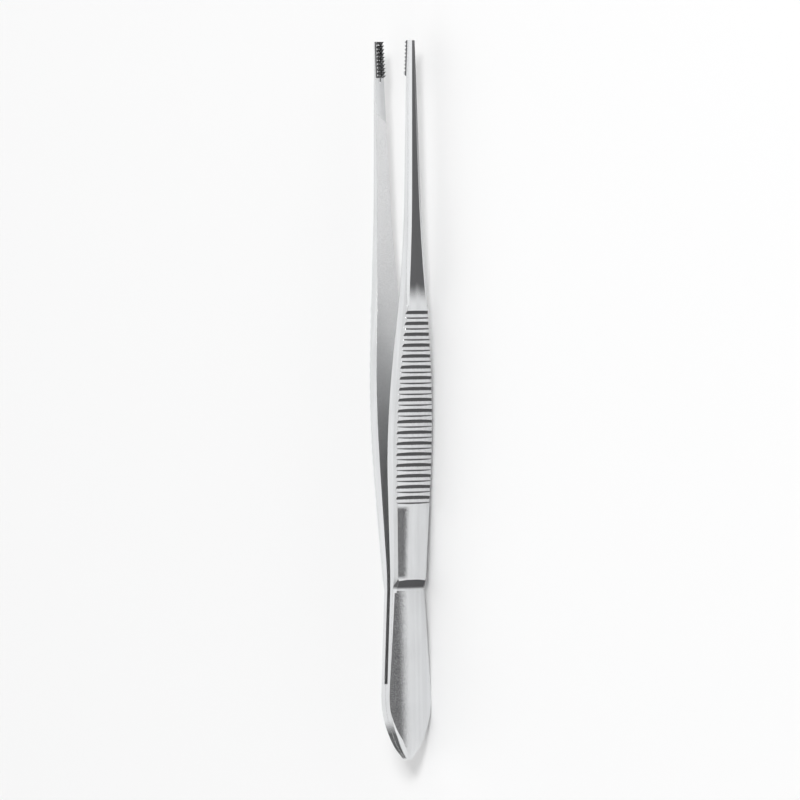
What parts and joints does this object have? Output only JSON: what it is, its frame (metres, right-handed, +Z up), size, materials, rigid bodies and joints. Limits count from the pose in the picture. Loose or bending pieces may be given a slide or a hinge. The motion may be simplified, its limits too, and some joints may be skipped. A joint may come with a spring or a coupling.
{
  "type": "thumb forceps",
  "caption": "Slim spring forceps of polished steel, with grooved finger grips, a welded leaf-shaped tail and fine toothed jaws.",
  "frame": {"origin": "on the surface that the forceps lie on, under the middle of their length and of the gap between the blades", "axes": "+Y along the length towards the jaws, +X across the opening from the left blade to the right one, +Z up across the blades' width"},
  "size_m": [0.011, 0.15, 0.0123],
  "materials": {
    "blade_steel": "mirror polished outside, fine satin on the inner faces"
  },
  "bodies": {
    "root": {"left_blade": "blade_steel", "right_blade": "blade_steel"}
  },
  "joints": []
}
